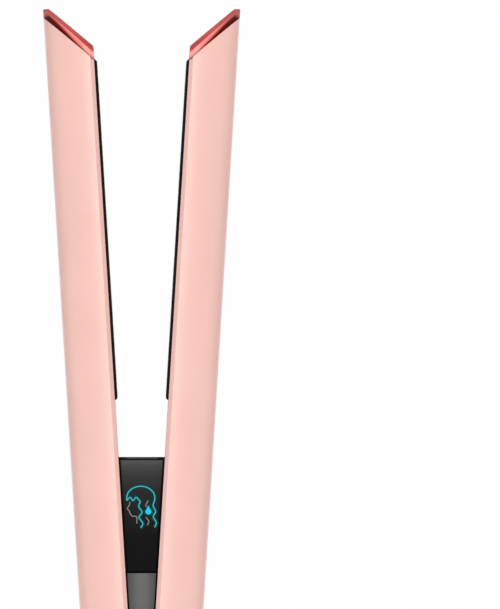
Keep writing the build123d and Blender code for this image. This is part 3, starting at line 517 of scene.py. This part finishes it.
# %% outline of the cap
def half_round(mesh, height):
    """Half-round outline of the arm as a face; the rear is cut where the shell ends."""

    def reach(start, x, y):
        tip = bmesh.ops.extrude_vert_indiv(mesh, verts=[start])["verts"][0]
        tip.co = (x, y, height)
        return tip

    def round_corner(start, y, angle, steps):
        arc = bmesh.ops.spin(mesh, geom=[start], cent=(CORNER_X, y, height),
                             axis=(0, 0, 1), angle=angle, steps=steps)
        return [v for v in arc["geom_last"] if isinstance(v, bmesh.types.BMVert)][0]

    first = mesh.verts.new((ARM_IN, -HALF_Y, height))
    corner = reach(first, CORNER_X, -HALF_Y)
    corner = round_corner(corner, -FLAT_Y, pi / 2, 28)
    corner = reach(corner, ARM_OUT, FLAT_Y)
    corner = round_corner(corner, FLAT_Y, REAR_TURN, 10)
    corner = reach(corner, ARM_IN, SHELL_REAR)
    mesh.edges.new((corner, first))
    return bmesh.ops.contextual_create(mesh, geom=mesh.edges[:])["faces"][0]


# %% cut with a plane and close the cut
def slice_off(mesh, point, normal):
    """Removes what lies beyond the plane and fills the cut."""
    cut = bmesh.ops.bisect_plane(mesh, geom=mesh.verts[:] + mesh.edges[:] + mesh.faces[:],
                                 plane_co=point, plane_no=normal, clear_outer=True)
    rim = [e for e in cut["geom_cut"] if isinstance(e, bmesh.types.BMEdge)]
    bmesh.ops.contextual_create(mesh, geom=rim)


# %% keep flat faces flat
def keep_flat(data, index):
    """Makes the edges round the faces of one finish sharp, so their shading stays even."""
    for polygon in data.polygons:
        if polygon.material_index == index:
            for corner in polygon.loop_indices:
                data.edges[data.loops[corner].edge_index].use_edge_sharp = True


# %% build both tip caps
BLANK_LOW = 285.0 * MM
BLANK_HIGH = 325.0 * MM
HOLLOW = 1.3 * MM
EDGE_GAP = 1e-5


def tip_cap(side):
    """One cap, cut from an upright blank between the seam and the top, with a hollow rim."""
    mesh = bmesh.new()
    base = half_round(mesh, BLANK_LOW)
    raised = bmesh.ops.extrude_face_region(mesh, geom=[base])
    top = [v for v in raised["geom"] if isinstance(v, bmesh.types.BMVert)]
    bmesh.ops.translate(mesh, verts=top, vec=(0, 0, BLANK_HIGH - BLANK_LOW))
    seam_point = Vector((ARM_OUT, 0, SHELL_TIP + SEAM))
    slice_off(mesh, seam_point, -SLANT)
    slice_off(mesh, (ARM_OUT, 0, SHELL_TIP + CAP_RISE), SLANT)
    mesh.normal_update()
    crown = max(mesh.faces, key=lambda f: f.calc_center_median().dot(SLANT))
    rim = [e for e in crown.edges
           if max(v.co.x for v in e.verts) > ARM_IN + EDGE_GAP
           and min(v.co.y for v in e.verts) < SHELL_REAR - EDGE_GAP]
    bmesh.ops.bevel(mesh, geom=rim, offset=HOLLOW, affect="EDGES", segments=8, profile=0.3,
                    material=-1, clamp_overlap=False)
    slice_off(mesh, (0, 0, TIP_TOP), Vector((0, 0, 1)))
    rise = mesh.verts.layers.float.new(RISE)
    full_height = (CAP_RISE - SEAM) * SLANT.z
    for v in mesh.verts:
        v[rise] = (v.co - seam_point).dot(SLANT) / full_height
    mesh.normal_update()
    for f in mesh.faces:
        flank = f.normal.dot(SLANT) < 0.99 and f.normal.z < 0.99 and f.normal.y < 0.99
        f.material_index = 0 if flank else 1
    open_arm(mesh, side)
    piece = make_piece(f"tip_cap_hollow_{side}", mesh, [cap_finish, coral], SIDES[side])
    keep_flat(piece.data, 1)
    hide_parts(f"tip_cap_{side}")
    return piece


for side in SIDES:
    print("tip cap:", len(tip_cap(side).data.polygons), "faces")

# %% [markdown]
# ## Hub edges
# The ring of each hub is turned, and a thin painted shadow line runs along each of its two rims.
# It's a dark bead here, half sunk in the ring: a small circle spun about the hub's axis, as far
# round as the ring goes.

# %% hub rims
# painted shade: dark shadow lines along the ring's rims
rim_shadow_line, tree, shader = new_finish("rim_shadow_line", (0.16, 0.012, 0.012), 0.4, 0.5)
grain = noise(tree, 2400, 2.0)
spread(tree, grain.outputs["Fac"], 0.34, 0.48, shader.inputs["Roughness"])
RIM_LINE = 0.16 * MM
END_GAP = radians(0.5)


def hub_rim(side, radius, name):
    """A fine dark bead along one rim of the hub's ring: a painted shadow line."""
    hub = Vector((ARM_OUT, HUB_Y, HUB_Z))
    reach = acos((HUB_CUT_Y - HUB_Y) / radius) - END_GAP
    mesh = bmesh.new()
    bmesh.ops.create_circle(mesh, cap_ends=True, segments=10, radius=RIM_LINE)
    bmesh.ops.translate(mesh, verts=mesh.verts, vec=hub + Vector((0, radius, 0)))
    start = Matrix.Rotation(-reach, 3, "X")
    bmesh.ops.rotate(mesh, verts=mesh.verts, cent=hub, matrix=start)
    bmesh.ops.spin(mesh, geom=mesh.verts[:] + mesh.edges[:] + mesh.faces[:], cent=hub,
                   axis=(1, 0, 0), angle=2 * reach, steps=72)
    open_arm(mesh, side)
    return make_piece(f"{name}_{side}", mesh, [rim_shadow_line], SIDES[side])


for side in SIDES:
    hub_rim(side, DISC_R + RIM_LINE, "hub_rim_shadow_in")
    rim = hub_rim(side, RING_R - RIM_LINE, "hub_rim_shadow_out")
    print("hub rim:", len(rim.data.polygons), "faces")

# %% [markdown]
# ## Pictogram
# The display shows wet hair being dried: a head seen from the side, with a crown of hair, two
# wavy strands and a drop of water. Each stroke is a curve with a round bevel, turned into a mesh
# and pressed almost flat against the glass. A wider, dimmer stroke behind it is the halo.

# %% the display's face
glass_low, glass_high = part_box("display_glass")
FACE_Y = glass_low.y
SIGN_HEIGHT = 0.589
SIGN_Z = glass_low.z + SIGN_HEIGHT * (glass_high.z - glass_low.z)


# %% helper: a lit stroke on a flat face
def stroke(points, width, face_y, thick):
    """A line through points (x, z) in mm, as flat as print, in a new bmesh."""
    line = bpy.data.curves.new("line", "CURVE")
    line.dimensions = "3D"
    line.bevel_depth = width / 2
    line.bevel_resolution = 3
    line.use_fill_caps = True
    spline = line.splines.new("POLY")
    spline.points.add(len(points) - 1)
    for knot, (x, z) in zip(spline.points, points):
        knot.co = (x, 0, z, 1)
    holder = bpy.data.objects.new("line", line)
    mesh = bmesh.new()
    mesh.from_mesh(holder.to_mesh())
    bpy.data.objects.remove(holder)
    bpy.data.curves.remove(line)
    bmesh.ops.scale(mesh, verts=mesh.verts, vec=(1, thick / width, 1))
    bmesh.ops.translate(mesh, verts=mesh.verts, vec=(0, face_y, 0))
    return mesh


# %% the strokes
def rounded(points, passes=2, share=0.12):
    """Cuts the corners of a line again and again, as a round pen does; the ends stay put."""
    for _ in range(passes):
        cut = [points[0]]
        for start, end in zip(points, points[1:]):
            for t in (share, 1 - share):
                cut.append(tuple((1 - t) * a + t * b for a, b in zip(start, end)))
        points = cut + [points[-1]]
    return points


def crown(radius_x, radius_z, x, z, start, stop, steps=40):
    """Part of an oval, from one angle to another, in degrees."""
    turns = [radians(start + (stop - start) * i / steps) for i in range(steps + 1)]
    return [(x + radius_x * cos(t), z + radius_z * sin(t)) for t in turns]


def strand(x, z, swing):
    """Two waves of hair that hang down from (x, z) and lean to the right."""
    steps = ((0, 0), (-1, -1.5), (0.9, -3.5), (-0.9, -5.2), (1.3, -7.2), (0.1, -8.7))
    return [(x + swing * aside, z + fall) for aside, fall in steps]


def in_place(points):
    """From mm about the middle of the sign to metres on the tool."""
    return [(x * MM, SIGN_Z + z * MM) for x, z in rounded(points)]


TEMPLE = (-4.85, 1.8)
HAIR = [TEMPLE] + crown(4.6, 3.75, -0.3, 2.75, 180, 0) + strand(4.2, 1.7, 0.58)
FRINGE = [TEMPLE, (-3.75, 3.05), (-2.85, 1.65), (-1.85, 3.05)] + strand(-0.4, 1.5, 0.72)
PROFILE = [(-3.85, 1.4), (-4.0, 0.45), (-4.8, -0.85), (-4.1, -1.5), (-3.8, -2.5), (-3.1, -3.35),
           (-1.6, -3.35), (-1.6, -5.75)]
SPRAY = [[(2.15, 1.85), (1.35, 0.45), (1.5, -0.3)], [(1.35, -3.65), (2.45, -5.0), (1.85, -6.3)]]
STROKE = 0.36 * MM
HALO = 1.3 * MM
FINE_STROKE = 0.34 * MM
INK = 0.02 * MM
HALO_INK = 0.012 * MM
LINE_Y = FACE_Y - 0.012 * MM
HALO_Y = FACE_Y - 0.004 * MM

# %% the strokes as pieces
lit = [("hair_crown", HAIR), ("hair_fringe", FRINGE)]
for name, points in lit:
    halo = stroke(in_place(points), HALO, HALO_Y, HALO_INK)
    make_piece(f"sign_{name}_halo", halo, [cyan_halo], "handle")
    line = stroke(in_place(points), STROKE, LINE_Y, INK)
    make_piece(f"sign_{name}", line, [cyan_line], "handle")
unlit = [("profile", PROFILE), ("spray_0", SPRAY[0]), ("spray_1", SPRAY[1])]
for name, points in unlit:
    line = stroke(in_place(points), FINE_STROKE, LINE_Y, INK)
    make_piece(f"sign_{name}", line, [grey_line], "handle")
print("strokes:", len(lit) + len(unlit))

# %% [markdown]
# The drop is a disc whose upper half is drawn up to a point: we pull each of its points up by
# the cube of its height, which leaves the belly round.


# %% the drop
DROP_X = 2.2 * MM
DROP_Z = SIGN_Z - 1.75 * MM
NARROWING = 0.62
POINT = 0.85


def drop(name, radius, ink, face_y):
    """A thin disc drawn up to a point, standing on the glass."""
    mesh = bmesh.new()
    bmesh.ops.create_circle(mesh, cap_ends=True, segments=40, radius=radius)
    for v in mesh.verts:
        up = max(0.0, v.co.y / radius)
        v.co.x *= 1 - NARROWING * up**1.5
        v.co.y += POINT * radius * up**3
    raised = bmesh.ops.extrude_face_region(mesh, geom=mesh.faces[:])
    top = [v for v in raised["geom"] if isinstance(v, bmesh.types.BMVert)]
    bmesh.ops.translate(mesh, verts=top, vec=(0, 0, INK))
    bmesh.ops.rotate(mesh, verts=mesh.verts, matrix=Matrix.Rotation(pi / 2, 3, "X"))
    bmesh.ops.translate(mesh, verts=mesh.verts, vec=(DROP_X, face_y, DROP_Z))
    return make_piece(name, mesh, [ink], "handle")


drop("sign_drop_halo", 1.55 * MM, cyan_halo, FACE_Y + 0.008 * MM)
drop("sign_drop", 1.02 * MM, cyan_drop, FACE_Y - 0.006 * MM)

# %% [markdown]
# ## Marks on the controls
# The power button carries a plain open ring with a bar, and the rocker a plus and a minus. They
# are pad-printed, so they are strokes as thin as paint, and they ride on the keys.

# %% power mark
button_low, button_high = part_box("power_button")
BUTTON_MID = (button_low.z + button_high.z) / 2
PRINT = 0.5 * MM
PAINT = 0.04 * MM
RING = 1.6 * MM


def mark(name, points, face_y, body):
    """A printed stroke on the face of a key."""
    line = stroke(points, PRINT, face_y, PAINT)
    return make_piece(name, line, [print_ink], body)


bar = [(0, BUTTON_MID + 0.4 * MM), (0, BUTTON_MID + 2.1 * MM)]
mark("power_ring", crown(RING, RING, 0, BUTTON_MID, 125, 415), button_low.y, "power_switch")
mark("power_bar", bar, button_low.y, "power_switch")

# %% plus and minus
rocker_low, rocker_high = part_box("temp_rocker")
HALF_MARK = 0.9 * MM
FROM_END = 1.7 * MM
MORE_Z = rocker_high.z - FROM_END
LESS_Z = rocker_low.z + FROM_END
MARKS = {
    "more_flat": [(-HALF_MARK, MORE_Z), (HALF_MARK, MORE_Z)],
    "more_upright": [(0, MORE_Z - HALF_MARK), (0, MORE_Z + HALF_MARK)],
    "less_flat": [(-HALF_MARK, LESS_Z), (HALF_MARK, LESS_Z)],
}
for name, points in MARKS.items():
    mark(name, points, rocker_low.y, "temp_switch")
print("marks sit on:", round(button_low.y / MM, 2), "and", round(rocker_low.y / MM, 2), "mm")

# %% [markdown]
# ## Grip ribs
# The lock slider has three moulded ribs for the thumb. Each is a short rod with rounded ends, laid
# across the slider and half sunk in it.

# %% grip ribs
lock_low, lock_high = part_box("lock_slider")
LOCK_MID = (lock_low.z + lock_high.z) / 2
RIB_R = 0.3 * MM
RIB_LENGTH = 1.8 * MM
RIB_ROUND = 0.12 * MM
RIB_PITCH = 1.5 * MM
for i in range(3):
    mesh = bmesh.new()
    bmesh.ops.create_cone(mesh, cap_ends=True, segments=24, radius1=RIB_R, radius2=RIB_R,
                          depth=RIB_LENGTH)
    caps = [e for e in mesh.edges if len(e.link_faces[0].verts) != len(e.link_faces[1].verts)]
    bmesh.ops.bevel(mesh, geom=caps, offset=RIB_ROUND, affect="EDGES", segments=3, profile=0.5,
                    material=-1)
    bmesh.ops.rotate(mesh, verts=mesh.verts, matrix=Matrix.Rotation(pi / 2, 3, "Y"))
    bmesh.ops.translate(mesh, verts=mesh.verts,
                        vec=(0, lock_high.y, LOCK_MID + (i - 1) * RIB_PITCH))
    make_piece(f"lock_rib_{i}", mesh, [coral], "lock")
print("ribs at", round(lock_high.y / MM, 2), "mm")

# %% [markdown]
# ## Light, floor and camera
# The room is evenly pale all round. One large soft lamp faces the display side, and two more
# stand behind the tool on each side, for the flanks and the rear. Two grey cards show only in
# polished and coated surfaces, so the edges of the arms fall away.

# %% floor
FLOOR_R = 2.0
FLOOR_DROP = 0.2 * MM
mesh = bmesh.new()
bmesh.ops.create_circle(mesh, cap_ends=True, segments=96, radius=FLOOR_R)
bmesh.ops.translate(mesh, verts=mesh.verts, vec=(0, 0, -FLOOR_DROP))
paper = glow("pale_paper", (1, 1, 1), 0.12, (0.93, 0.93, 0.93), 0.9)
to_object("floor", mesh, [paper])

# %% grey cards at the sides
CARD_HALF = 0.3
CARD_X = 0.4
felt = glow("grey_felt", (1, 1, 1), 0.3, (0.0, 0.0, 0.0), 1.0)


def side_card(x):
    """A grey card behind and beside the tool, seen only as a soft dark edge in its coat."""
    mesh = bmesh.new()
    bmesh.ops.create_grid(mesh, x_segments=1, y_segments=1, size=CARD_HALF)
    bmesh.ops.rotate(mesh, verts=mesh.verts, matrix=Matrix.Rotation(pi / 2, 3, "Y"))
    bmesh.ops.translate(mesh, verts=mesh.verts, vec=(x, 0.45, 0.2))
    card = to_object("side_card", mesh, [felt])
    card.visible_camera = False
    card.visible_diffuse = False
    card.visible_shadow = False


for x in (-CARD_X, CARD_X):
    side_card(x)


# %% lamps
AIM = Vector((0, 0, 0.2))


def lamp(name, place, size, power):
    """A rectangular soft lamp that points at the tool; sizes in metres, power in watts."""
    light = bpy.data.lights.new(name, "AREA")
    light.shape = "RECTANGLE"
    light.size, light.size_y = size
    light.energy = power
    holder = bpy.data.objects.new(name, light)
    holder.location = place
    holder.rotation_euler = (AIM - Vector(place)).to_track_quat("-Z", "Y").to_euler()
    bpy.context.scene.collection.objects.link(holder)
    return holder


lamp("front_soft", (0.0, -2.2, 0.6), (1.0, 1.4), 24)
for name, x in (("left_soft", -1.6), ("right_soft", 1.6)):
    fill = lamp(name, (x, 1.4, 0.5), (1.0, 1.2), 13)
    fill.visible_glossy = False

# %% pale room
world = bpy.data.worlds.new("studio")
world.use_nodes = True
air = world.node_tree.nodes["Background"]
air.inputs["Color"].default_value = (1, 1, 1, 1)
air.inputs["Strength"].default_value = 0.99
bpy.context.scene.world = world
bpy.context.scene.view_settings.view_transform = "Standard"

# %% [markdown]
# A long lens from far away keeps the arms' edges as straight as in a drawing. The camera looks
# straight along +Y at the upper two thirds of the tool, which stands left of the middle: a small
# sideways shift of the lens puts it there and still shows both arms equally.

# %% camera
VIEW_HIGH = 201.0 * MM
ASIDE = 35.75 * MM
EYE_Z = 216.35 * MM
DISTANCE = 3.0
SENSOR = 36.0
camera = bpy.data.objects.new("camera", bpy.data.cameras.new("camera"))
camera.location = (0, -DISTANCE, EYE_Z)
camera.rotation_euler = (pi / 2, 0, 0)
camera.data.sensor_width = SENSOR
camera.data.lens = SENSOR * DISTANCE / VIEW_HIGH
camera.data.shift_x = ASIDE / VIEW_HIGH
camera.data.clip_end = 50
bpy.context.scene.collection.objects.link(camera)
bpy.context.scene.camera = camera
